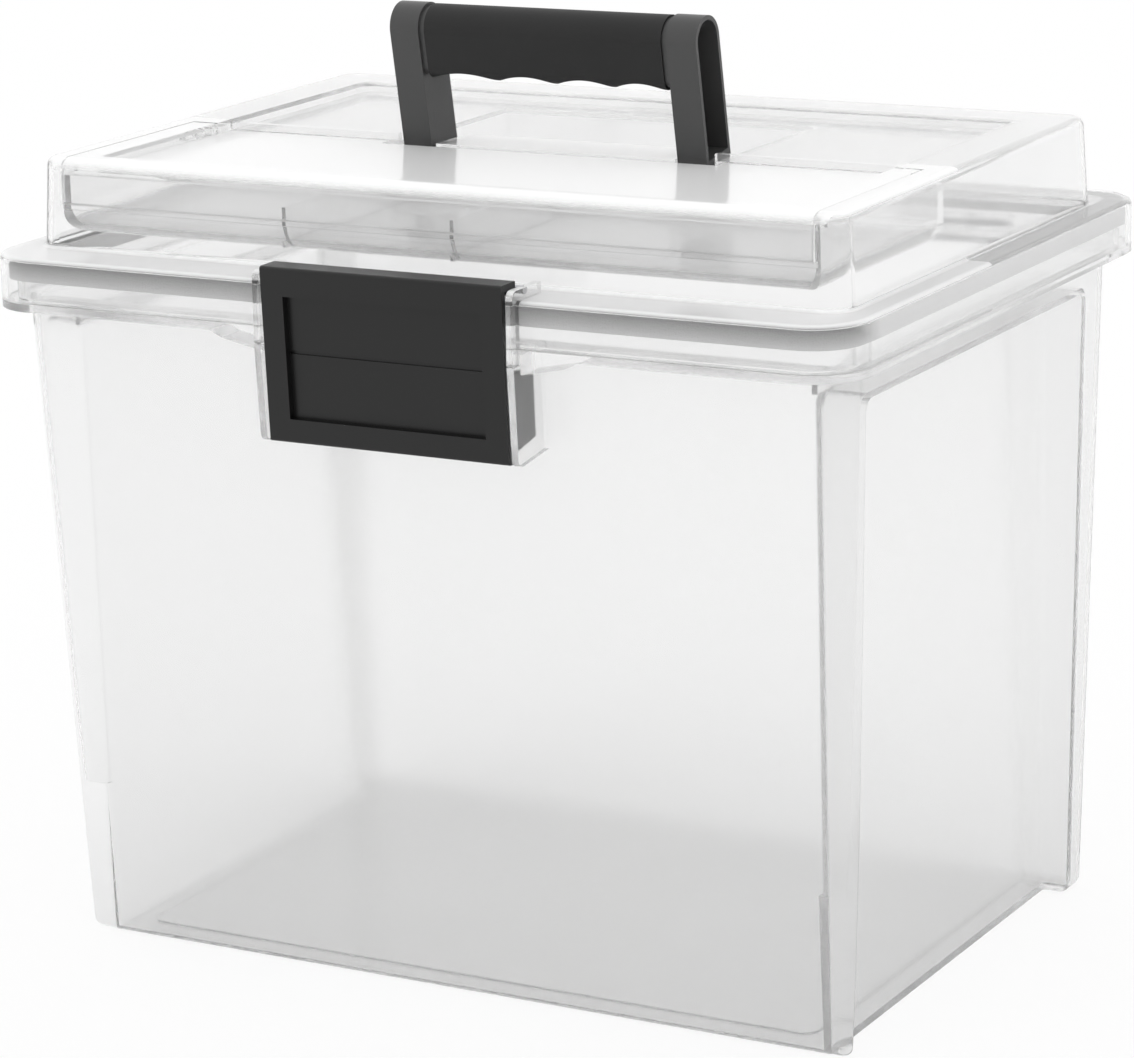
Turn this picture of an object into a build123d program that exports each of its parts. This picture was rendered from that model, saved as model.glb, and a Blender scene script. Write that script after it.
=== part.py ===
from build123d import *
import os

# Portable file box: a tapered tub, a hinged lid with an organizer pocket under a flap,
# a fold-down carrying handle and a front latch.  Millimetres, +Z up, latch towards -Y.
# The origin is on the floor, in the middle of the tub.

# ---------------------------------------------------------------- tub
mouth_length = 350.8         # tub along X at the top of its rim
mouth_depth = 234.0          # tub along Y at the top of its rim
end_taper = 6.9              # each end leans in by this much towards the floor
base_length = mouth_length - 2 * end_taper
base_depth = 212.2           # tub along Y at the floor
base_corner = 6.0
mouth_corner = 11.0
tub_height = 259.0           # floor to the top of the rim flange
tub_wall = 2.2
tub_floor = 2.5
bottom_round = 5.0
floor_step = 0.8             # raised field in the middle of the floor
floor_step_inset = 9.0

end_panel_inset = 11.0       # sunk end panel behind the tub's end, at the floor
end_recess_front = -103.6    # the recess in each end runs from here ...
end_recess_back = 91.6       # ... to here in Y
end_recess_drop = 14.0       # rim to the top of an end recess
end_recess_height = tub_height - end_recess_drop
end_recess_round = 5.0
end_recess_floor_round = 1.5
column_round = 0.7           # rounding of the corner columns beside a recess
column_foot_height = 62.0    # the slim front columns are solid up to here
file_rail_height = 4.8       # rib on the ledge, where hanging folders hook on

# ---------------------------------------------------------------- rim, shared by tub and lid
rim_overhang = 6.1           # rim past the tub's mouth at each end
rim_length = mouth_length + 2 * rim_overhang
rim_front = -133.5
rim_back = 139.0
rim_corner = 21.0
rim_flange = 3.0             # thickness of the tub's flange
rim_gap = 0.2                # between the flange and the lid's skirt
seal_inset = 5.0             # skirt's inner face to the middle of the seal
seal_rib_width = 2.2
seal_rib_height = 7.8
seal_width = 8.0
seal_gap = 0.3

# ---------------------------------------------------------------- lid
lid_wall = 2.2
shoulder_rise = 17.5
lid_shoulder = tub_height + shoulder_rise    # the flat shoulder around the dome
dome_height = 34.1
lid_top = lid_shoulder + dome_height
shoulder_round = 2.5
dome_inset = 11.0            # dome behind the rim at each end
dome_taper = 1.8
dome_base_length = rim_length - 2 * dome_inset
dome_base_front = -110.9
dome_base_back = 112.8
dome_top_length = dome_base_length - 2 * dome_taper
dome_top_front = -109.1
dome_top_back = 111.9
dome_corner = 9.5
dome_round = 3.5
dome_foot_round = 2.0
dome_foot_margin = 1.0       # edges this close to the dome's foot are rounded with it
brow_round = 6.0             # rounding along the dome's front edge

recess_border = 21.6         # dome's ends to the shallow recess in its top
recess_length = dome_top_length - 2 * recess_border
recess_front = -99.4
recess_back = 91.5
recess_depth = 4.2
recess_corner = 4.0

# ---------------------------------------------------------------- organizer pocket and its flap
pocket_side = 13.5           # dome's ends to the inside of the pocket
pocket_length = dome_base_length - 2 * pocket_side
pocket_back = -10.0          # inside
pocket_depth = 27.1          # lid's top to the pocket's floor
pocket_floor = lid_top - pocket_depth
pocket_wall = 2.5
pocket_skin = 2.0            # under the pocket
pocket_round = 8.0
pocket_front_height = 20.5
dividers = (-61.0, 11.0)     # places along X
divider_width = 1.6
divider_height = 14.0

flap_gap = 0.8               # round the flap
flap_hinge_gap = 1.6         # behind the flap's shoulders, for their swing
flap_overlap = 0.7           # flap past the pocket's inside at each end
flap_length = pocket_length + 2 * flap_overlap
flap_rear = -10.5            # rear edge of the flap's field
flap_notch_rear = -16.5      # rear edge in front of the handle
flap_notch_length = 146.0
flap_shoulder_rear = -20.5   # where the flap's raised border ends
flap_lip_height = 16.9
flap_lip_bottom = lid_top - flap_lip_height
flap_seat_gap = 0.2
flap_axis_back = 2.2         # axis to the rear of the shoulders
flap_axis_drop = 3.0         # lid's top to the axis
flap_boss_radius = 2.6
flap_boss_length = 7.0
flap_pin_radius = 1.5
flap_pin_reach = 3.3
flap_bearing_width = 4.0
flap_bearing_radius = 3.6
flap_relief = 4.2            # room round the axis in the pocket's wall

# ---------------------------------------------------------------- handle
handle_axis_y = -0.2
handle_axis_drop = 10.3      # lid's top to the axis
handle_axis_z = lid_top - handle_axis_drop
handle_lean = 9.07           # degrees that the raised handle leans forward
handle_width = 132.2         # over the legs
leg_width = 12.5
leg_depth = 19.0
handle_reach = 61.2          # axis to the top of the handle
leg_rim = 1.7                # rim round the hollow in a leg
leg_web = 2.0
leg_hollow_bottom = 7.5      # above the axis
grip_core_depth = 9.0
grip_core_low = 39.5
grip_core_high = 56.0
grip_gap = 0.15
collar_length = 2.4
collar_step = 0.8
handle_pin_radius = 2.5

grip_ridges = (-51.0, -21.8, 3.4, 28.6, 51.0)   # places along X of the ridges between fingers
grip_low = 33.6              # ridges above the axis
grip_scoop = 2.9             # depth of each finger scoop
grip_step = 0.4              # grip stands this far inside the legs' outline
grip_round = 4.0

# ---------------------------------------------------------------- stowage well for the handle
well_side_gap = 2.9          # legs to the well's walls
well_front_gap = 1.7         # legs to the well's front wall
well_back = 73.0
well_floor_gap = 0.5         # under the folded handle
well_skin = 2.0
beam_side_gap = 1.4          # legs to the beam between them
beam_back = 14.0

# ---------------------------------------------------------------- latch
latch_width = 101.0
latch_rise = 6.2             # latch above the lid's shoulder
latch_top = lid_shoulder + latch_rise
latch_drop = 41.8            # latch below the rim
latch_bottom = tub_height - latch_drop
latch_front_top = -138.7
latch_front_bottom = -136.6
latch_skin = 2.6
latch_plate_back = -128.5    # rear edge of the plate over the lid's shoulder
latch_axis_y = -127.2
latch_axis_rise = 3.0        # axis above the lid's shoulder
latch_axis_z = lid_shoulder + latch_axis_rise
latch_knuckle_length = 42.0
latch_knuckle_radius = 2.6
latch_pin_radius = 1.5
latch_pin_reach = 1.4        # pin into each ear
latch_side_skin = 2.2
latch_side_inset = 3.3       # side walls stand this far inside the plate's ends
latch_side_back = -128.2
latch_side_drop = 9.0        # rim to the top of the side walls' deep part
latch_side_top = tub_height - latch_side_drop
latch_side_foot = 4.8        # latch's lower edge to the foot of the side walls
latch_side_bottom = latch_bottom + latch_side_foot
latch_side_gap = 0.4         # behind a side wall where it passes the rim flange
latch_skirt_gap = 0.5
strike_length = 84.0         # ledge on the tub that the latch snaps over
strike_front = -131.6
strike_drop = 28.0           # rim to the underside of the strike
strike_low = tub_height - strike_drop
strike_thickness = 2.4
bead_gap = 0.3               # strike to the bead inside the latch
bead_height = 3.0
latch_corner = 1.2
latch_panel_length = 82.6
latch_panel_foot = 9.0       # latch's lower edge to the sunk panel
latch_panel_head = 10.7      # sunk panel to the latch's upper edge
latch_panel_bottom = latch_bottom + latch_panel_foot
latch_panel_top = latch_top - latch_panel_head
latch_panel_depth = 2.6
latch_panel_skin = 1.4       # behind the sunk panel
latch_groove_drop = 8.0      # rim to the groove
latch_groove_z = tub_height - latch_groove_drop
latch_groove_width = 1.4
latch_groove_depth = 0.7

ear_gap = 1.2                # latch to each ear
ear_width = 2.8
ear_seam_drop = 5.3          # rim to the seam where the tub's ear meets the lid's
ear_seam = tub_height - ear_seam_drop
ear_seam_gap = 0.5
ear_seam_front = -138.4
ear_bottom_drop = 42.5       # rim to the ear's lower edge
ear_bottom = tub_height - ear_bottom_drop
ear_bottom_front = -136.7
ear_rise = 3.0               # the ear's lower edge climbs this far towards the wall
ear_round = 3.0
ear_flange_gap = 0.4         # lid's ear to the rim flange behind it
lid_ear_front = -137.6
lid_ear_back = -117.2
lid_ear_rise = 4.2           # ear above the lid's shoulder
lid_ear_top = lid_shoulder + lid_ear_rise
gusset_length = 22.6
gusset_drop = 6.3
gusset_tip_drop = 2.4
gusset_front = -133.5

# ---------------------------------------------------------------- rear hinges
hinge_places = (-96.0, 96.0)
hinge_axis_gap = 4.6         # rim to the axis
hinge_knuckle_radius = 4.0
hinge_knuckle_length = 16.0
hinge_knuckle_gap = 0.3
hinge_knuckle_root = 0.5     # root of the lid's knuckle behind the skirt
hinge_pin_radius = 1.6

pin_clearance = 0.05         # round every pin

# ---------------------------------------------------------------- values worked out from the above
overshoot = 5.0              # cutters run this far past the faces they cut
ring_overshoot = 1.0         # the cutter inside a ring runs this far past it

skirt_bottom = tub_height + rim_gap
shoulder_under = lid_shoulder - lid_wall
flange_under = tub_height - rim_flange
rail_half = base_length / 2 - end_panel_inset
ledge_z = end_recess_height + tub_wall
rib_top = tub_height + seal_rib_height
seal_bottom = rib_top + seal_gap
plateau = lid_top - recess_depth
plateau_under = plateau - lid_wall
top_under = lid_top - lid_wall
opening_half = flap_length / 2 + flap_gap
pocket_front = dome_top_front + lid_wall + flap_gap + pocket_wall
flap_axis_y = flap_shoulder_rear - flap_axis_back
flap_axis_z = lid_top - flap_axis_drop
mouth_rear = flap_shoulder_rear + flap_hinge_gap
leg_outer = handle_width / 2
leg_inner = leg_outer - leg_width
leg_half_depth = leg_depth / 2
well_half = leg_outer + well_side_gap
well_front = handle_axis_y - leg_half_depth - well_front_gap
well_floor = handle_axis_z - leg_half_depth - well_floor_gap
beam_half = leg_inner - beam_side_gap
ear_inner = latch_width / 2 + ear_gap
ear_outer = ear_inner + ear_width
hinge_axis_y = rim_back + hinge_axis_gap
hinge_axis_z = tub_height


# ---------------------------------------------------------------- helpers
def span_box(x, y, z):
    """Box between the two values given for each axis."""
    size = [high - low for low, high in (x, y, z)]
    middle = [(high + low) / 2 for low, high in (x, y, z)]
    return Pos(*middle) * Box(*size)


def plan(length, front, back, corner, z):
    """Rounded rectangle, centred on X, lying at height z."""
    return Pos(0, (front + back) / 2, z) * RectangleRounded(length, back - front, corner)


def upright(length, front, back, corner, low, high):
    """Block with the rounded plan and upright walls."""
    return extrude(plan(length, front, back, corner, low), amount=high - low)


def ring(outer_inset, inner_inset, low, high):
    """Ring that follows the rim, between two insets from the rim's outline."""
    def block(inset, bottom, top):
        return upright(rim_length - 2 * inset, rim_front + inset, rim_back - inset,
                       rim_corner - inset, bottom, top)
    return block(outer_inset, low, high) - block(inner_inset, low - ring_overshoot,
                                                high + ring_overshoot)


def rod(radius, x_low, x_high, y, z):
    """Cylinder along X."""
    return Pos((x_low + x_high) / 2, y, z) * Rot(0, 90, 0) * Cylinder(radius, x_high - x_low)


def mirrored(shape):
    """The shape and its mirror image in X."""
    return [shape, mirror(shape, about=Plane.YZ)]


def side_profile(points, x_low, x_high):
    """Closed outline in Y and Z, drawn out along X."""
    face = make_face(Plane.YZ * Polyline(*points, close=True))
    return Pos(x_low, 0, 0) * extrude(face, amount=x_high - x_low, dir=(1, 0, 0))


def front_profile(points, y_low, y_high):
    """Closed outline in X and Z, drawn out along Y."""
    wire = Polyline(*[(x, y_low, z) for x, z in points], close=True)
    return extrude(make_face(wire), amount=y_high - y_low, dir=(0, 1, 0))


# ---------------------------------------------------------------- tub
def tub_plan(z, inset):
    """The tub's outline at height z, inset from its outer face."""
    share = z / tub_height
    length = base_length + share * (mouth_length - base_length) - 2 * inset
    depth = base_depth + share * (mouth_depth - base_depth) - 2 * inset
    corner = base_corner + share * (mouth_corner - base_corner) - min(inset, base_corner / 2)
    return plan(length, -depth / 2, depth / 2, corner, z)


def end_recess(grow):
    """One end recess as a cutter, grown on all its walls."""
    block = span_box((rail_half - grow, base_length),
                     (end_recess_front - grow, end_recess_back + grow),
                     (-tub_height, end_recess_height + grow))
    block = fillet(block.edges().filter_by(Axis.X).group_by(Axis.Z)[-1], end_recess_round)
    panel_edges = block.faces().sort_by(Axis.X)[0].edges().sort_by(Axis.Z)[1:]
    return fillet(panel_edges, end_recess_floor_round + grow)


def column_foot():
    """Lower part of a front column, where it is too slim to be hollow."""
    return span_box((rail_half - tub_wall, base_length), (-base_depth, 0),
                    (-tub_height, column_foot_height))


def column_edges(outer):
    """Upright outer edges of the four corner columns, beside the end recesses."""
    def beside_recess(edge):
        middle = edge.center()
        tall = edge.length > 4 * end_recess_round
        at_cut = min(abs(middle.Y - end_recess_front), abs(middle.Y - end_recess_back)) < column_round
        return tall and at_cut and abs(middle.X) > rail_half + column_round
    return outer.edges().filter_by(beside_recess)


def tub_body():
    outer = loft([tub_plan(0, 0), tub_plan(tub_height, 0)])
    outer = fillet(outer.edges().group_by(Axis.Z)[0], bottom_round)
    cavity = loft([tub_plan(tub_floor, tub_wall), tub_plan(tub_height + overshoot, tub_wall)])
    flange = upright(rim_length, rim_front, rim_back, rim_corner, flange_under, tub_height)
    for cutter in mirrored(end_recess(0)):
        outer -= cutter
    outer = fillet(column_edges(outer), column_round)
    body = outer + flange
    for kept in mirrored(end_recess(tub_wall) + column_foot()):
        cavity -= kept
    return body - cavity


def floor_field():
    """Slightly raised field in the middle of the floor."""
    half_length = rail_half - tub_wall - floor_step_inset
    half_depth = base_depth / 2 - tub_wall - floor_step_inset
    return upright(2 * half_length, -half_depth, half_depth, base_corner,
                   tub_floor - tub_wall / 2, tub_floor + floor_step)


def file_rail():
    """Upstanding rib along the inner edge of one ledge."""
    return span_box((rail_half - tub_wall, rail_half),
                    (end_recess_front - tub_wall, end_recess_back + tub_wall),
                    (ledge_z - tub_wall / 2, ledge_z + file_rail_height))


def tub_wall_y(z):
    """Front face of the tub at height z."""
    return -(base_depth + z / tub_height * (mouth_depth - base_depth)) / 2


def tub_ear():
    """Fin beside the latch, up to the seam below the lid's ear."""
    wall_y = tub_wall_y(ear_bottom) + tub_wall / 2
    top = ear_seam - ear_seam_gap / 2
    flange_middle = tub_height - rim_flange / 2
    corners = [(wall_y, ear_bottom + ear_rise), (ear_bottom_front, ear_bottom),
               (ear_seam_front, top), (rim_front, top), (rim_front, flange_middle),
               (wall_y, flange_middle)]
    fin = side_profile(corners, ear_inner, ear_outer)
    front_low = fin.edges().filter_by(Axis.X).sort_by(Axis.Z)[0]
    return fillet(front_low, ear_round)


def latch_gusset():
    """Web under the rim flange, beside an ear."""
    tip = ear_outer + gusset_length
    corners = [(ear_outer - ear_width / 2, flange_under), (tip, flange_under),
               (tip - gusset_tip_drop * 2, flange_under - gusset_tip_drop),
               (ear_outer - ear_width / 2, flange_under - gusset_drop)]
    return front_profile(corners, gusset_front, tub_wall_y(flange_under - gusset_drop) + tub_wall / 2)


def strike():
    """Ledge between the ears that the latch snaps over."""
    wall_y = tub_wall_y(strike_low) + tub_wall / 2
    return span_box((-strike_length / 2, strike_length / 2), (strike_front, wall_y),
                    (strike_low, strike_low + strike_thickness))


def latch_notch():
    """Notch in the rim flange between the ears, where the latch's side walls pass."""
    return span_box((-ear_inner, ear_inner),
                    (rim_front - overshoot, latch_side_back + latch_side_gap),
                    (flange_under - overshoot, tub_height + overshoot))


def knuckle_rod(place, start, stop):
    return rod(hinge_knuckle_radius, place + start, place + stop, hinge_axis_y, hinge_axis_z)


def hinge_hole(place):
    reach = 1.5 * hinge_knuckle_length + hinge_knuckle_gap + overshoot
    return rod(hinge_pin_radius + pin_clearance, place - reach, place + reach,
               hinge_axis_y, hinge_axis_z)


def tub_knuckles(place):
    """The two outer knuckles of one hinge, on arms from the rim flange."""
    pieces = []
    inner = hinge_knuckle_length / 2 + hinge_knuckle_gap
    for start in (inner, -inner - hinge_knuckle_length):
        stop = start + hinge_knuckle_length
        arm = span_box((place + start, place + stop), (rim_back - rim_flange, hinge_axis_y),
                       (hinge_axis_z - hinge_knuckle_radius, hinge_axis_z))
        pieces.append(knuckle_rod(place, start, stop) + arm)
    return pieces


def make_tub():
    tub = tub_body() + floor_field()
    for rail in mirrored(file_rail()):
        tub += rail
    rib_outer = lid_wall + seal_inset - seal_rib_width / 2
    tub += ring(rib_outer, rib_outer + seal_rib_width, tub_height - rim_flange / 2, rib_top)
    for ear in mirrored(tub_ear()):
        tub += ear
    for gusset in mirrored(latch_gusset()):
        tub += gusset
    tub += strike()
    tub -= latch_notch()
    for place in hinge_places:
        for knuckle in tub_knuckles(place):
            tub += knuckle
        tub -= hinge_hole(place)
    return tub


# ---------------------------------------------------------------- lid
def dome_block(inset, top):
    """The dome as a solid block, inset from its outer face."""
    low = plan(dome_base_length - 2 * inset, dome_base_front + inset, dome_base_back - inset,
               dome_corner - inset, lid_shoulder - lid_wall)
    high = plan(dome_top_length - 2 * inset, dome_top_front + inset, dome_top_back - inset,
                dome_corner - inset, top)
    return loft([low, high])


def recess_block(grow, low):
    """The recess in the dome's top as a cutter, grown on its walls."""
    return upright(recess_length + 2 * grow, recess_front - grow, recess_back + grow,
                   recess_corner + grow, low, lid_top + overshoot)


def brow_block(inset):
    """Block behind the dome's front face, inset from it, with the rounded edge at its top."""
    top = lid_top - inset
    foot = lid_shoulder - lid_wall
    corners = [(dome_base_front + inset, foot), (dome_top_front + inset, top),
               (rim_back, top), (rim_back, foot)]
    block = side_profile(corners, -rim_length, rim_length)
    front_top = block.edges().filter_by(Axis.X).group_by(Axis.Z)[-1].sort_by(Axis.Y)[0]
    return fillet(front_top, brow_round - inset)


def dome_skin():
    """Outer form of the dome, with the recess in its top."""
    dome = dome_block(0, lid_top)
    dome = fillet(dome.edges().group_by(Axis.Z)[-1], dome_round) & brow_block(0)
    return dome - recess_block(0, plateau)


def well_block(grow):
    """The handle's well, grown on its walls and floor."""
    return span_box((-well_half - grow, well_half + grow), (well_front - grow, well_back + grow),
                    (well_floor - grow, plateau + overshoot))


def beam_block(shrink):
    """The beam left between the handle's legs, shrunk on its sides and top."""
    return span_box((-beam_half + shrink, beam_half - shrink),
                    (well_front - well_skin - overshoot, beam_back - shrink),
                    (well_floor - 2 * well_skin, plateau - shrink))


def pocket_block(grow, low, high):
    """The organizer pocket, grown on its walls, with rounded lower edges."""
    block = span_box((-pocket_length / 2 - grow, pocket_length / 2 + grow),
                     (pocket_front - grow, pocket_back + grow), (low, high))
    return fillet(block.edges().group_by(Axis.Z)[0], pocket_round)


def pocket_shell():
    """Walls, floor and dividers of the organizer pocket."""
    shell = pocket_block(pocket_wall, pocket_floor - pocket_skin, top_under + lid_wall / 2)
    cavity = pocket_block(0, pocket_floor, lid_top + overshoot)
    shell -= cavity
    for place in dividers:
        wall = span_box((place - divider_width / 2, place + divider_width / 2),
                        (pocket_front - pocket_wall / 2, well_front - well_skin / 2),
                        (pocket_floor - pocket_skin / 2, pocket_floor + divider_height))
        shell += wall
    front_cut = span_box((-pocket_length / 2, pocket_length / 2),
                         (pocket_front - pocket_wall - overshoot, pocket_front + overshoot),
                         (pocket_floor + pocket_front_height, lid_top + overshoot))
    return shell - front_cut


def lip_ledge():
    """Ledge under the flap's lip, from the dome's front wall to the pocket's."""
    top = flap_lip_bottom - flap_gap / 2
    return span_box((-opening_half, opening_half),
                    (dome_base_front + lid_wall / 2, pocket_front - pocket_wall / 2),
                    (top - lid_wall, top))


def flap_opening():
    """Everything cut from the lid to let the flap in."""
    seat = top_under - flap_seat_gap
    mouth = span_box((-opening_half, opening_half),
                     (dome_base_front - overshoot, mouth_rear), (seat, lid_top + overshoot))
    step_half = recess_length / 2 + lid_wall + flap_gap
    steps = span_box((-step_half, step_half),
                     (recess_front - lid_wall - flap_gap, mouth_rear),
                     (plateau_under - overshoot, lid_top + overshoot))
    field_half = recess_length / 2
    field = span_box((-field_half, field_half), (recess_front, pocket_back),
                     (plateau_under - overshoot, lid_top + overshoot))
    lip = span_box((-opening_half, opening_half),
                   (dome_base_front - overshoot, pocket_front - pocket_wall),
                   (flap_lip_bottom - flap_gap / 2, lid_top + overshoot))
    brow = span_box((-opening_half, opening_half), (dome_base_front - overshoot, recess_front),
                    (pocket_floor + pocket_front_height, lid_top + overshoot))
    return mouth + steps + field + lip + brow


def lid_ear():
    """Fin on the lid beside the latch's hook."""
    in_shoulder = lid_shoulder - lid_wall / 2
    in_skirt = rim_front + lid_wall / 2
    past_flange = rim_front - ear_flange_gap
    low = ear_seam + ear_seam_gap / 2
    corners = [(ear_seam_front, low), (lid_ear_front, lid_ear_top), (lid_ear_back, lid_ear_top),
               (lid_ear_back, in_shoulder), (in_skirt, in_shoulder), (in_skirt, skirt_bottom),
               (past_flange, skirt_bottom), (past_flange, low)]
    fin = side_profile(corners, ear_inner, ear_outer)
    top_edges = fin.edges().filter_by(Axis.X).group_by(Axis.Z)[-1]
    fin = fillet(top_edges.sort_by(Axis.Y)[0], ear_round)
    return fin - rod(latch_pin_radius + pin_clearance, 0,
                     ear_inner + latch_pin_reach + pin_clearance, latch_axis_y, latch_axis_z)


def lid_knuckle(place):
    """The middle knuckle of one hinge, on an arm from the skirt."""
    half = hinge_knuckle_length / 2
    arm = span_box((place - half, place + half), (rim_back - lid_wall / 2, hinge_axis_y),
                   (hinge_axis_z, hinge_axis_z + hinge_knuckle_radius))
    low_part = span_box((place - half, place + half),
                        (rim_back - lid_wall / 2, rim_back + hinge_knuckle_root),
                        (skirt_bottom, hinge_axis_z + hinge_knuckle_radius))
    return knuckle_rod(place, -half, half) + arm + low_part


def lid_hollow():
    """Everything that is empty under the lid's skin."""
    skirt_room = upright(rim_length - 2 * lid_wall, rim_front + lid_wall, rim_back - lid_wall,
                         rim_corner - lid_wall, skirt_bottom - overshoot, shoulder_under)
    dome_room = dome_block(lid_wall, top_under) & brow_block(lid_wall)
    dome_room -= recess_block(lid_wall, plateau_under)
    return skirt_room + dome_room


def flap_bearing():
    """Block under the lid's border that carries one of the flap's pins."""
    return span_box((opening_half, opening_half + flap_bearing_width),
                    (flap_axis_y - flap_bearing_radius, flap_axis_y + flap_bearing_radius),
                    (flap_axis_z - flap_bearing_radius, lid_top - lid_wall / 2))


def flap_pin_hole():
    """Hole for one of the flap's pins, with room for the shoulder's swing beside it."""
    reach = flap_length / 2 + flap_pin_reach + flap_gap
    hole = rod(flap_pin_radius + pin_clearance, pocket_length / 2 - overshoot, reach,
               flap_axis_y, flap_axis_z)
    relief = span_box((pocket_length / 2 - overshoot, opening_half),
                      (flap_axis_y - flap_relief, mouth_rear),
                      (flap_axis_z - flap_relief, lid_top + overshoot))
    return hole + relief


def handle_pin_hole():
    return rod(handle_pin_radius + pin_clearance, beam_half - well_skin - overshoot,
               well_half + well_skin + overshoot, handle_axis_y, handle_axis_z)


def dome_foot(outside):
    """Edges where the dome meets the lid's shoulder."""
    def at_foot(edge):
        middle = edge.center()
        level = abs(middle.Z - lid_shoulder) < pin_clearance
        within = abs(middle.X) < dome_base_length / 2 + pin_clearance
        deep = (dome_base_front - dome_foot_margin < middle.Y
                < dome_base_back + dome_foot_margin)
        return level and within and deep
    return outside.edges().filter_by(at_foot)


def make_lid():
    rim = upright(rim_length, rim_front, rim_back, rim_corner, skirt_bottom, lid_shoulder)
    rim = fillet(rim.edges().group_by(Axis.Z)[-1], shoulder_round)
    outside = rim + dome_skin()
    outside = fillet(dome_foot(outside), dome_foot_round)
    lid = outside - lid_hollow()
    lid += pocket_shell() + lip_ledge()
    well = well_block(well_skin) & span_box((-rim_length, rim_length), (rim_front, rim_back),
                                            (0, plateau - lid_wall / 2))
    lid += well
    lid -= well_block(0) - beam_block(0)
    lid -= beam_block(well_skin) & span_box((-rim_length, rim_length),
                                            (well_front, rim_back), (0, plateau_under))
    lid -= flap_opening()
    for ear in mirrored(lid_ear()) + mirrored(flap_bearing()):
        lid += ear
    for place in hinge_places:
        lid += lid_knuckle(place)
        lid -= hinge_hole(place)
    for hole in mirrored(flap_pin_hole()) + mirrored(handle_pin_hole()):
        lid -= hole
    return lid


def make_lid_seal():
    """Foam ring under the lid's shoulder."""
    outer = lid_wall + seal_inset - seal_width / 2
    return ring(outer, outer + seal_width, seal_bottom, shoulder_under)


def make_hinge_pins():
    half = 1.5 * hinge_knuckle_length + hinge_knuckle_gap
    return [rod(hinge_pin_radius, place - half, place + half, hinge_axis_y, hinge_axis_z)
            for place in hinge_places]


# ---------------------------------------------------------------- organizer flap
def make_flap():
    half = flap_length / 2
    blank = dome_skin() & span_box((-half, half), (dome_base_front - overshoot, flap_rear),
                                   (flap_lip_bottom, lid_top + overshoot))
    room = span_box((-rim_length, rim_length), (dome_top_front + lid_wall, rim_back),
                    (flap_lip_bottom - overshoot, top_under))
    room -= recess_block(lid_wall, plateau_under) & span_box((-rim_length, rim_length),
                                                           (rim_front, rim_back), (0, lid_top))
    flap = blank - (room & brow_block(lid_wall))
    tail_half = recess_length / 2 - flap_gap
    for tail in mirrored(span_box((tail_half, rim_length), (flap_shoulder_rear, rim_back),
                                  (0, lid_top + overshoot))):
        flap -= tail
    flap -= span_box((-flap_notch_length / 2, flap_notch_length / 2),
                     (flap_notch_rear, rim_back), (0, lid_top + overshoot))
    boss = rod(flap_boss_radius, pocket_length / 2 - flap_boss_length,
               pocket_length / 2 - flap_gap / 2, flap_axis_y, flap_axis_z)
    pin = rod(flap_pin_radius, pocket_length / 2 - flap_boss_length,
              flap_length / 2 + flap_pin_reach, flap_axis_y, flap_axis_z)
    for stub in mirrored(boss + pin):
        flap += stub
    return flap


# ---------------------------------------------------------------- handle, drawn upright on its axis
def leg_outline(inset, low, top):
    """Side view of a leg: a straight bar with a round top, seen along X."""
    radius = leg_half_depth - inset
    straight_top = top - leg_half_depth
    bar = Rectangle(2 * radius, straight_top - low, align=(Align.CENTER, Align.MIN))
    return Pos(0, low) * bar + Pos(0, straight_top) * Circle(radius)


def along_x(sketch, x_low, x_high):
    """Draw a side-view sketch out along X."""
    return extrude(Plane.YZ.offset(x_low) * sketch, amount=x_high - x_low)


def lean(shape):
    """Stand an upright handle part on its axis, leaning forward."""
    return Pos(0, handle_axis_y, handle_axis_z) * Rot(handle_lean, 0, 0) * shape


def handle_leg():
    leg = along_x(leg_outline(0, 0, handle_reach), leg_inner, leg_outer)
    leg += rod(leg_half_depth, leg_inner, leg_outer, 0, 0)
    hollow = along_x(leg_outline(leg_rim, leg_hollow_bottom, handle_reach),
                     leg_inner + leg_web, leg_outer + overshoot)
    collar = along_x(grip_section(collar_step), leg_inner - collar_length, leg_inner + leg_web / 2)
    hole = rod(handle_pin_radius + pin_clearance, leg_inner - overshoot, leg_outer + overshoot, 0, 0)
    return leg - hollow + collar - hole


def grip_section(inset):
    """Side view of the grip: round on top like the legs, flatter below."""
    radius = leg_half_depth - grip_step - inset
    low = grip_low + inset
    straight_top = handle_reach - leg_half_depth
    body = Pos(0, low) * Rectangle(2 * radius, straight_top - low, align=(Align.CENTER, Align.MIN))
    outline = body + Pos(0, straight_top) * Circle(radius)
    corners = outline.vertices().group_by(Axis.Y)[0]
    return fillet(corners, grip_round)


def make_handle_frame():
    core = span_box((-leg_inner - leg_web / 2, leg_inner + leg_web / 2),
                    (-grip_core_depth / 2, grip_core_depth / 2), (grip_core_low, grip_core_high))
    frame = core
    for leg in mirrored(handle_leg()):
        frame += leg
    return lean(frame)


def finger_scoop(start, stop):
    """Cylinder that hollows the grip's underside between two ridges."""
    half = (stop - start) / 2
    radius = (half ** 2 + grip_scoop ** 2) / (2 * grip_scoop)
    centre_z = grip_low + grip_scoop - radius
    return Pos((start + stop) / 2, 0, centre_z) * Rot(90, 0, 0) * Cylinder(radius, 2 * leg_depth)


def make_grip():
    half = leg_inner - collar_length
    grip = along_x(grip_section(0), -half, half)
    core = span_box((-half - overshoot, half + overshoot),
                    (-grip_core_depth / 2 - grip_gap, grip_core_depth / 2 + grip_gap),
                    (grip_core_low - grip_gap, grip_core_high + grip_gap))
    grip -= core
    for start, stop in zip(grip_ridges[:-1], grip_ridges[1:]):
        grip -= finger_scoop(start, stop)
    return lean(grip)


def make_handle_pins():
    pin = rod(handle_pin_radius, beam_half - well_skin, well_half + well_skin,
              handle_axis_y, handle_axis_z)
    return mirrored(pin)


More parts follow.
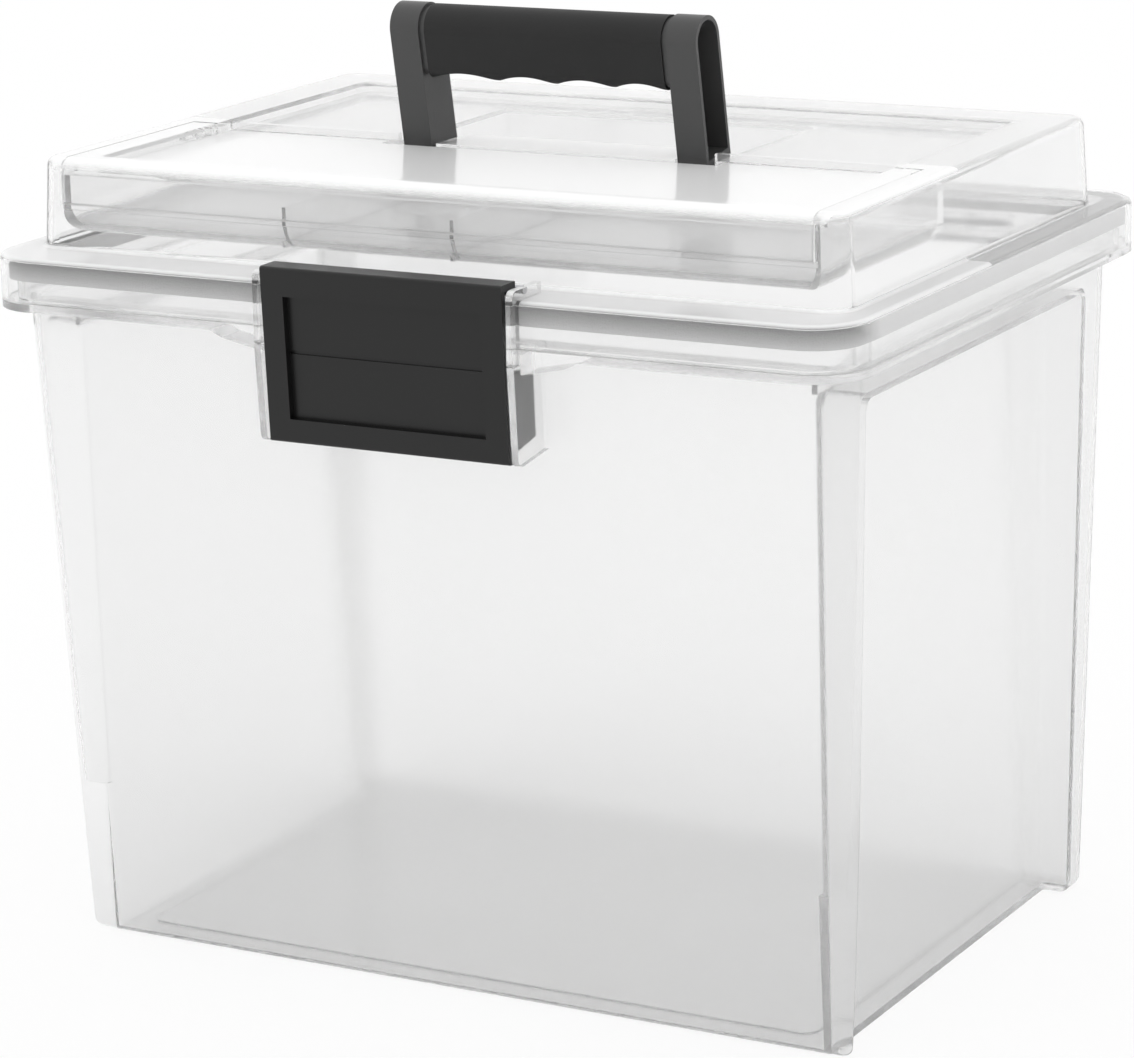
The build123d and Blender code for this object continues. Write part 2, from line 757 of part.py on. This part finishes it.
# ---------------------------------------------------------------- latch
def latch_face_y(z):
    """Front face of the latch at height z."""
    share = (z - latch_bottom) / (latch_top - latch_bottom)
    return latch_front_bottom + share * (latch_front_top - latch_front_bottom)


def latch_plate():
    """Front plate and the plate over the lid's shoulder, seen from the side."""
    under = latch_top - latch_skin
    corners = [(latch_face_y(latch_bottom), latch_bottom), (latch_face_y(latch_top), latch_top),
               (latch_plate_back, latch_top), (latch_plate_back, under),
               (latch_face_y(under) + latch_skin, under),
               (latch_face_y(latch_bottom) + latch_skin, latch_bottom)]
    plate = side_profile(corners, -latch_width / 2, latch_width / 2)
    front_top = plate.edges().filter_by(Axis.X).group_by(Axis.Z)[-1].sort_by(Axis.Y)[0]
    front_low = plate.edges().filter_by(Axis.X).group_by(Axis.Z)[0].sort_by(Axis.Y)[0]
    return fillet([front_top, front_low], latch_corner)


def latch_cheek():
    """Side wall behind the front plate, with the eye that the pin runs in."""
    outer = latch_width / 2 - latch_side_inset
    inner = outer - latch_side_skin
    skirt_y = rim_front - latch_skirt_gap
    corners = [(latch_face_y(latch_bottom) + latch_skin / 2, latch_bottom),
               (latch_face_y(latch_top) + latch_skin / 2, latch_top - latch_skin / 2),
               (latch_axis_y, latch_top - latch_skin / 2),
               (latch_axis_y, latch_axis_z), (skirt_y, latch_axis_z),
               (skirt_y, latch_side_top), (latch_side_back, latch_side_top - latch_skin),
               (latch_side_back, latch_side_bottom)]
    cheek = side_profile(corners, inner, outer)
    return cheek + rod(latch_knuckle_radius, inner, outer, latch_axis_y, latch_axis_z)


def latch_knuckle():
    """Middle knuckle at the rear edge of the upper plate."""
    half = latch_knuckle_length / 2
    web = span_box((-half, half), (latch_plate_back - latch_skin, latch_axis_y),
                   (latch_top - latch_skin, latch_axis_z + latch_knuckle_radius))
    return rod(latch_knuckle_radius, -half, half, latch_axis_y, latch_axis_z) + web


def latch_bead():
    """Bead inside the front plate that snaps past the strike."""
    half = strike_length / 2
    back = strike_front - bead_gap
    return span_box((-half, half), (latch_face_y(strike_low) + latch_skin / 2, back),
                    (strike_low - bead_height, strike_low + strike_thickness / 2))


def latch_panel_block(grow, front, back):
    """Slab behind the latch's face, from front to back in depth, grown past the sunk panel."""
    low = latch_panel_bottom - grow
    high = latch_panel_top + grow
    corners = [(latch_face_y(low) + front, low), (latch_face_y(high) + front, high),
               (latch_face_y(high) + back, high), (latch_face_y(low) + back, low)]
    half = latch_panel_length / 2 + grow
    return side_profile(corners, -half, half)


def latch_panel_cut():
    """Sunk panel in the latch's face, with a groove across its floor."""
    half = latch_panel_length / 2
    groove_y = latch_face_y(latch_groove_z) + latch_panel_depth + latch_groove_depth
    groove = span_box((-half, half), (groove_y - overshoot, groove_y),
                      (latch_groove_z - latch_groove_width / 2, latch_groove_z + latch_groove_width / 2))
    return latch_panel_block(0, -overshoot, latch_panel_depth) + groove


def make_latch():
    latch = latch_plate() + latch_knuckle() + latch_bead()
    latch += latch_panel_block(latch_panel_skin, latch_skin / 2,
                               latch_panel_depth + latch_panel_skin)
    for cheek in mirrored(latch_cheek()):
        latch += cheek
    hole = rod(latch_pin_radius + pin_clearance, -latch_width, latch_width,
               latch_axis_y, latch_axis_z)
    return latch - latch_panel_cut() - hole


def make_latch_pin():
    half = ear_inner + latch_pin_reach
    return rod(latch_pin_radius, -half, half, latch_axis_y, latch_axis_z)


# ---------------------------------------------------------------- write every piece
def write(name, shape):
    solids = shape if isinstance(shape, list) else shape.solids()
    export_step(Compound(children=list(solids)), f"parts/{name}.step")


os.makedirs("parts", exist_ok=True)
write("tub", make_tub())
write("hinge_pins", make_hinge_pins())
write("lid", make_lid())
write("lid_seal", make_lid_seal())
write("organizer_flap", make_flap())
write("handle_frame", make_handle_frame())
write("handle_grip", make_grip())
write("handle_pins", make_handle_pins())
write("latch", make_latch())
write("latch_pin", make_latch_pin())
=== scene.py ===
from math import cos, radians, sin

import bmesh
import bpy
from mathutils import Matrix, Vector


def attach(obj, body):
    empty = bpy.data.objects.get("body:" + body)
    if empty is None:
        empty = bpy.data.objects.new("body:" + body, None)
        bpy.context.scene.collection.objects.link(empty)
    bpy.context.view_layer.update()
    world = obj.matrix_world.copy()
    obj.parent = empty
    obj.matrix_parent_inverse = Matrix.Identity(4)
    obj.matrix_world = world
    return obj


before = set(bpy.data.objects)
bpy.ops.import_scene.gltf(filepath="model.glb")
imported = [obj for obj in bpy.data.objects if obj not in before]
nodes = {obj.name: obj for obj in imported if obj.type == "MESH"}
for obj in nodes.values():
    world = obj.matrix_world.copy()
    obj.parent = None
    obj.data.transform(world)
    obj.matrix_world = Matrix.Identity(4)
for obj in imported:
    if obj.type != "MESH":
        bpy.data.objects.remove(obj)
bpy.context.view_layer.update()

# ---------------------------------------------------------------- camera, in metres and degrees
CAMERA_AZIMUTH = 29.7525
CAMERA_ELEVATION = 14.8278
CAMERA_ROLL = 1.7495
CAMERA_DISTANCE = 1.66954
CAMERA_AIM = Vector((-0.005992, 0.001899, 0.154437))
CAMERA_LENS = 135.24             # mm, on a sensor 36 mm wide
SENSOR_WIDTH = 36.0

# ---------------------------------------------------------------- latch's side walls, in metres
LATCH_SIDE_INNER = 0.0483        # from the middle of the latch, along X
LATCH_SIDE_OUTER = 0.0501
LATCH_SIDE_OUTLINE = [(-0.1345, 0.2205), (-0.1180, 0.2240), (-0.1185, 0.2490), (-0.1355, 0.2515)]
LATCH_SIDE_ROUND = 0.0006
LATCH_SIDE_ROUND_STEPS = 3

# ---------------------------------------------------------------- finishes
COAT_ROUGHNESS = 0.12
TUB_TINT = (0.988, 0.988, 0.988)
TUB_CLEARNESS = 0.93
TUB_ROUGHNESS = (0.15, 0.23)
TUB_INDEX = 1.20
TUB_COAT = 0.3
TUB_HAZE_SCALE = 9.0             # patches along a metre
TUB_GRAIN_SCALE = 900.0
TUB_RELIEF = (0.05, 0.0004)      # strength, and depth in metres
LID_TINT = (1.0, 1.0, 1.0)
LID_CLEARNESS = 0.95
LID_ROUGHNESS = 0.08
LID_INDEX = 1.25
LID_COAT = 0.8
LID_WAVE_SCALE = 14.0
LID_RELIEF = (0.06, 0.002)
FROST_HIGHLIGHT_CLEARNESS = 0.20           # where the lid has frost and painted highlight
FROST_ROUGHNESS = (0.30, 0.42)   # added to the lid's own
FROST_GRAIN_SCALE = 1400.0
FROST_HIGHLIGHT_SLOPES = (0.30, 0.80)      # upward part of the surface's direction: none and full frost with painted highlight
FROST_HIGHLIGHT_BACK = -0.0100             # full frost and painted highlight before this place along Y, in metres
FROST_HIGHLIGHT_BEHIND = 0.35              # share of the frost and painted highlight behind it
FROST_HIGHLIGHT_EDGE = 0.0002              # metres from the one to the other
# grey of the painted shade on the upper front run of the seal
SEAL_SHADE_TONE = 0.15
SEAL_PALE = 0.88
SEAL_SHADE_BEFORE = -0.120        # painted shade on the front run of the seal before this place along Y
# the painted shade on the seal is gone behind this place along Y
SEAL_UNSHADED_AFTER = -0.100
SEAL_LOW = 0.2671                # foot of the seal, in metres
SEAL_HIGH = 0.2743
SEAL_FOOT_UNSHADED = 0.80             # how pale its foot is under the painted shade of the front run
SEAL_GRAIN = 0.05
SEAL_ROUGHNESS = 0.95
SEAL_PORE_SCALE = 1100.0
SEAL_RELIEF = (0.6, 0.0006)
MOULDED_SHINE = 0.4
MOULDED_TONE_SCALE = 30.0
MOULDED_GLOSS_SCALE = 60.0
MOULDED_DEPTH = 0.0003           # metres
STEEL_GREY = (0.55, 0.55, 0.57)
STEEL_ROUGHNESS = (0.22, 0.38)
STEEL_GRAIN_SCALE = 400.0

# ---------------------------------------------------------------- studio
FLOOR_SIZE = 60.0
FLOOR_HEIGHT = -0.0003           # just clear of the tub's underside
FLOOR_COLOR = 0.90
FLOOR_ROUGHNESS = 0.9
FLOOR_SHINE = 0.1
FLOOR_NEAR = 0.30                # metres from the middle of the floor
FLOOR_FAR = 1.0
FLOOR_NEAR_GLOW = 0.37           # share of plain white there, seen through plastic
FLOOR_FAR_GLOW = 0.42
FLOOR_SEEN_GLOW = 0.9            # share of plain white that the camera sees
WORLD_LOW = 0.95                 # strength level with the horizon
WORLD_HIGH = 1.15
WORLD_HIGH_FROM = 0.8            # upward part of the direction that has the full strength
CLIP_END = 100.0                 # metres that the camera sees
BOUNCES = 40                     # light through all the walls of both plastics
DIFFUSE_BOUNCES = 12


# ---------------------------------------------------------------- node helpers
def new_material(name):
    """A material with an empty tree but for its output and one Principled shader."""
    material = bpy.data.materials.new(name)
    material.use_nodes = True
    tree = material.node_tree
    tree.nodes.clear()
    output = tree.nodes.new("ShaderNodeOutputMaterial")
    shader = tree.nodes.new("ShaderNodeBsdfPrincipled")
    tree.links.new(shader.outputs["BSDF"], output.inputs["Surface"])
    return material, tree, shader, output


def add(tree, kind, **settings):
    """A node of the kind, with its sockets set by name and its other settings as attributes."""
    node = tree.nodes.new(kind)
    for name, value in settings.items():
        if name in node.inputs:
            node.inputs[name].default_value = value
        else:
            setattr(node, name, value)
    return node


def set_sockets(shader, values):
    """Uniform values on the shader's own sockets."""
    for name, value in values.items():
        shader.inputs[name].default_value = value


def place(tree):
    """Where on the object a point is, in metres."""
    return add(tree, "ShaderNodeTexCoord").outputs["Object"]


def split(tree, vector):
    """The X, Y and Z of a vector."""
    node = add(tree, "ShaderNodeSeparateXYZ")
    tree.links.new(vector, node.inputs["Vector"])
    return node.outputs


def noise(tree, scale, detail, roughness=0.5):
    """Noise that sits still on the object."""
    node = add(tree, "ShaderNodeTexNoise", Scale=scale, Detail=detail, Roughness=roughness)
    tree.links.new(place(tree), node.inputs["Vector"])
    return node.outputs["Fac"]


def ramp(tree, source, low, high, from_low=0.0, from_high=1.0):
    """Map a number from one span to another."""
    node = add(tree, "ShaderNodeMapRange")
    node.inputs["From Min"].default_value = from_low
    node.inputs["From Max"].default_value = from_high
    node.inputs["To Min"].default_value = low
    node.inputs["To Max"].default_value = high
    tree.links.new(source, node.inputs["Value"])
    return node.outputs["Result"]


def bump(tree, shader, height, strength, distance):
    """Relief on the shader's surface, of the strength and depth given."""
    node = add(tree, "ShaderNodeBump", Strength=strength, Distance=distance)
    tree.links.new(height, node.inputs["Height"])
    tree.links.new(node.outputs["Normal"], shader.inputs["Normal"])


def math(tree, operation, first, second):
    """What the operation makes of two numbers or sockets."""
    node = add(tree, "ShaderNodeMath", operation=operation)
    for socket, value in zip(node.inputs, (first, second)):
        if isinstance(value, (int, float)):
            socket.default_value = value
        else:
            tree.links.new(value, socket)
    return node.outputs["Value"]


# ---------------------------------------------------------------- materials
def plastic(name, tint, clearness, index, coat):
    """Transparent plastic, with the rest of it milky."""
    material, tree, shader, _ = new_material(name)
    set_sockets(shader, {"Base Color": (*tint, 1), "IOR": index,
                         "Transmission Weight": clearness,
                         "Coat Weight": coat, "Coat Roughness": COAT_ROUGHNESS})
    return material, tree, shader


def frosted_clear():
    """The tub's natural polypropylene: see-through, with a slight milky haze."""
    material, tree, shader = plastic("frosted_clear", TUB_TINT, TUB_CLEARNESS, TUB_INDEX,
                                     TUB_COAT)
    haze = ramp(tree, noise(tree, TUB_HAZE_SCALE, 4.0), *TUB_ROUGHNESS)
    tree.links.new(haze, shader.inputs["Roughness"])
    bump(tree, shader, noise(tree, TUB_GRAIN_SCALE, 2.0), *TUB_RELIEF)
    return material


def lid_plastic(name):
    """Clear glossy plastic, with frost where it faces up, most of all over the organizer; the same
    mask whitens up-facing faces such as the brow as a painted highlight.
    """
    material, tree, shader = plastic(name, LID_TINT, LID_CLEARNESS, LID_INDEX, LID_COAT)
    where = split(tree, place(tree))
    facing = split(tree, add(tree, "ShaderNodeTexCoord").outputs["Normal"])
    # frost, and painted highlight on faces that look up: less clear and so whiter where this is full
    upward = ramp(tree, facing["Z"], 0.0, 1.0, *FROST_HIGHLIGHT_SLOPES)
    before = ramp(tree, where["Y"], 1.0, FROST_HIGHLIGHT_BEHIND, FROST_HIGHLIGHT_BACK, FROST_HIGHLIGHT_BACK + FROST_HIGHLIGHT_EDGE)
    frost_and_highlight = math(tree, "MULTIPLY", upward, before)
    grain = ramp(tree, noise(tree, FROST_GRAIN_SCALE, 2.0), *FROST_ROUGHNESS)
    rough = math(tree, "ADD", math(tree, "MULTIPLY", frost_and_highlight, grain), LID_ROUGHNESS)
    tree.links.new(rough, shader.inputs["Roughness"])
    clearness = ramp(tree, frost_and_highlight, LID_CLEARNESS, FROST_HIGHLIGHT_CLEARNESS)
    tree.links.new(clearness, shader.inputs["Transmission Weight"])
    bump(tree, shader, noise(tree, LID_WAVE_SCALE, 2.0), *LID_RELIEF)
    return material


def two_tones(tree, shader, factor, dark, light):
    """Base colour that runs between two greys."""
    color = add(tree, "ShaderNodeMix", data_type="RGBA")
    tree.links.new(factor, color.inputs["Factor"])
    color.inputs["A"].default_value = (dark, dark, dark, 1)
    color.inputs["B"].default_value = (light, light, light, 1)
    tree.links.new(color.outputs["Result"], shader.inputs["Base Color"])


def foam():
    """Foam seal: pale, with painted shade along the upper part of its front run."""
    material, tree, shader, _ = new_material("foam_seal")
    pores = noise(tree, SEAL_PORE_SCALE, 4.0, 0.7)
    where = split(tree, place(tree))
    # painted shade: darkest on the upper front run, fading out towards the back and towards the foot
    back = ramp(tree, where["Y"], 0.0, 1.0, SEAL_SHADE_BEFORE, SEAL_UNSHADED_AFTER)
    low = ramp(tree, where["Z"], SEAL_FOOT_UNSHADED, 0.0, SEAL_LOW, SEAL_HIGH)
    tone = math(tree, "MAXIMUM", back, low)
    grain = ramp(tree, pores, -SEAL_GRAIN, SEAL_GRAIN)
    two_tones(tree, shader, math(tree, "ADD", tone, grain), SEAL_SHADE_TONE, SEAL_PALE)
    shader.inputs["Roughness"].default_value = SEAL_ROUGHNESS
    bump(tree, shader, pores, *SEAL_RELIEF)
    return material


def moulded(name, tones, roughness, grain, relief):
    """Moulded plastic or rubber, with a fine grain and slight changes of tone and gloss."""
    material, tree, shader, _ = new_material(name)
    two_tones(tree, shader, noise(tree, MOULDED_TONE_SCALE, 4.0), *tones)
    gloss = ramp(tree, noise(tree, MOULDED_GLOSS_SCALE, 3.0), *roughness)
    tree.links.new(gloss, shader.inputs["Roughness"])
    shader.inputs["Specular IOR Level"].default_value = MOULDED_SHINE
    bump(tree, shader, noise(tree, grain, 2.0), relief, MOULDED_DEPTH)
    return material


def steel():
    """Drawn steel of the pins."""
    material, tree, shader, _ = new_material("steel_pin")
    set_sockets(shader, {"Base Color": (*STEEL_GREY, 1), "Metallic": 1.0})
    gloss = ramp(tree, noise(tree, STEEL_GRAIN_SCALE, 3.0), *STEEL_ROUGHNESS)
    tree.links.new(gloss, shader.inputs["Roughness"])
    return material


def dress(node, material):
    """Give a CAD node its material."""
    mesh = nodes[node].data
    mesh.materials.clear()
    mesh.materials.append(material)


def latch_side(name, x_low, x_high, material):
    """Side wall behind the latch's plate, with rounded edges, seen through the ear beside it."""
    mesh = bmesh.new()
    near = [mesh.verts.new((x_low, y, z)) for y, z in LATCH_SIDE_OUTLINE]
    side = mesh.faces.new(near)
    raised = bmesh.ops.extrude_face_region(mesh, geom=[side])
    moved = [part for part in raised["geom"] if isinstance(part, bmesh.types.BMVert)]
    bmesh.ops.translate(mesh, vec=(x_high - x_low, 0, 0), verts=moved)
    bmesh.ops.recalc_face_normals(mesh, faces=mesh.faces)
    bmesh.ops.bevel(mesh, geom=mesh.edges, offset=LATCH_SIDE_ROUND,
                    segments=LATCH_SIDE_ROUND_STEPS, affect="EDGES")
    data = bpy.data.meshes.new(name)
    mesh.to_mesh(data)
    mesh.free()
    data.materials.append(material)
    wall = bpy.data.objects.new(name, data)
    bpy.context.scene.collection.objects.link(wall)
    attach(wall, "latch_body")


# ---------------------------------------------------------------- studio
def make_floor():
    """Pale floor, seen white with a faint shadow, and greyer through the plastic."""
    half = FLOOR_SIZE / 2
    mesh = bpy.data.meshes.new("studio_floor")
    corners = ((-half, -half), (half, -half), (half, half), (-half, half))
    mesh.from_pydata([(x, y, FLOOR_HEIGHT) for x, y in corners], [], [(0, 1, 2, 3)])
    floor = bpy.data.objects.new("studio_floor", mesh)
    bpy.context.scene.collection.objects.link(floor)
    material, tree, shader, output = new_material("studio_floor")
    set_sockets(shader, {"Base Color": (FLOOR_COLOR,) * 3 + (1,), "Roughness": FLOOR_ROUGHNESS,
                         "Specular IOR Level": FLOOR_SHINE})
    away = add(tree, "ShaderNodeVectorMath", operation="LENGTH")
    tree.links.new(place(tree), away.inputs[0])
    far = ramp(tree, away.outputs["Value"], FLOOR_NEAR_GLOW, FLOOR_FAR_GLOW, FLOOR_NEAR, FLOOR_FAR)
    path = add(tree, "ShaderNodeLightPath")
    through = math(tree, "MAXIMUM", path.outputs["Is Transmission Ray"],
                   path.outputs["Is Glossy Ray"])
    through = math(tree, "MULTIPLY", through, far)
    direct = math(tree, "MULTIPLY", path.outputs["Is Camera Ray"], FLOOR_SEEN_GLOW)
    white = add(tree, "ShaderNodeEmission", Strength=1.0)
    mix = add(tree, "ShaderNodeMixShader")
    tree.links.new(math(tree, "MAXIMUM", through, direct), mix.inputs["Fac"])
    tree.links.new(shader.outputs["BSDF"], mix.inputs[1])
    tree.links.new(white.outputs["Emission"], mix.inputs[2])
    tree.links.new(mix.outputs["Shader"], output.inputs["Surface"])
    mesh.materials.append(material)


def make_world():
    """Plain soft light from all round, brighter from above."""
    world = bpy.data.worlds.new("studio")
    bpy.context.scene.world = world
    world.use_nodes = True
    tree = world.node_tree
    tree.nodes.clear()
    output = tree.nodes.new("ShaderNodeOutputWorld")
    soft = add(tree, "ShaderNodeBackground")
    soft.inputs["Color"].default_value = (1, 1, 1, 1)
    where = split(tree, add(tree, "ShaderNodeTexCoord").outputs["Generated"])
    height = ramp(tree, where["Z"], WORLD_LOW, WORLD_HIGH, 0.0, WORLD_HIGH_FROM)
    tree.links.new(height, soft.inputs["Strength"])
    white = add(tree, "ShaderNodeBackground", Strength=1.0)
    white.inputs["Color"].default_value = (1, 1, 1, 1)
    path = add(tree, "ShaderNodeLightPath")
    seen = math(tree, "MAXIMUM", path.outputs["Is Camera Ray"], path.outputs["Is Transmission Ray"])
    mix = add(tree, "ShaderNodeMixShader")
    tree.links.new(seen, mix.inputs["Fac"])
    tree.links.new(soft.outputs["Background"], mix.inputs[1])
    tree.links.new(white.outputs["Background"], mix.inputs[2])
    tree.links.new(mix.outputs["Shader"], output.inputs["Surface"])


def make_camera():
    """Camera that looks at its aim from the azimuth, elevation and distance given, with a roll."""
    azimuth, elevation, roll = (radians(a) for a in (CAMERA_AZIMUTH, CAMERA_ELEVATION, CAMERA_ROLL))
    back = Vector((sin(azimuth) * cos(elevation), -cos(azimuth) * cos(elevation), sin(elevation)))
    level_right = Vector((cos(azimuth), sin(azimuth), 0))
    level_up = back.cross(level_right)
    right = level_right * cos(roll) - level_up * sin(roll)
    up = level_right * sin(roll) + level_up * cos(roll)
    data = bpy.data.cameras.new("camera")
    data.lens = CAMERA_LENS
    data.sensor_width = SENSOR_WIDTH
    data.clip_end = CLIP_END
    camera = bpy.data.objects.new("camera", data)
    turn = Matrix((right, up, back)).transposed().to_4x4()
    camera.matrix_world = Matrix.Translation(CAMERA_AIM + back * CAMERA_DISTANCE) @ turn
    bpy.context.scene.collection.objects.link(camera)
    bpy.context.scene.camera = camera


# ---------------------------------------------------------------- put it together
pins = steel()
dress("tub", frosted_clear())
dress("lid", lid_plastic("clear"))
dress("organizer_flap", lid_plastic("clear_flap"))
dress("lid_seal", foam())
latch_black = moulded("latch_black", tones=(0.004, 0.006), roughness=(0.30, 0.38),
                      grain=700.0, relief=0.08)
dress("latch", latch_black)
latch_grey = moulded("latch_side_black", tones=(0.110, 0.130), roughness=(0.40, 0.50),
                     grain=700.0, relief=0.08)
latch_side("latch_side_left", -LATCH_SIDE_OUTER, -LATCH_SIDE_INNER, latch_grey)
latch_side("latch_side_right", LATCH_SIDE_INNER, LATCH_SIDE_OUTER, latch_grey)
for node, name in (("handle_frame", "handle_grey"), ("handle_pins", "handle_pin_grey")):
    dress(node, moulded(name, tones=(0.050, 0.060), roughness=(0.34, 0.42), grain=700.0, relief=0.10))
dress("handle_grip", moulded("grip_rubber", tones=(0.006, 0.009), roughness=(0.50, 0.62),
                             grain=900.0, relief=0.16))
dress("latch_pin", pins)
dress("hinge_pins", pins)

make_floor()
make_world()
make_camera()

scene = bpy.context.scene
scene.view_settings.view_transform = "Standard"
scene.cycles.max_bounces = BOUNCES
scene.cycles.transmission_bounces = BOUNCES
scene.cycles.glossy_bounces = BOUNCES
scene.cycles.diffuse_bounces = DIFFUSE_BOUNCES
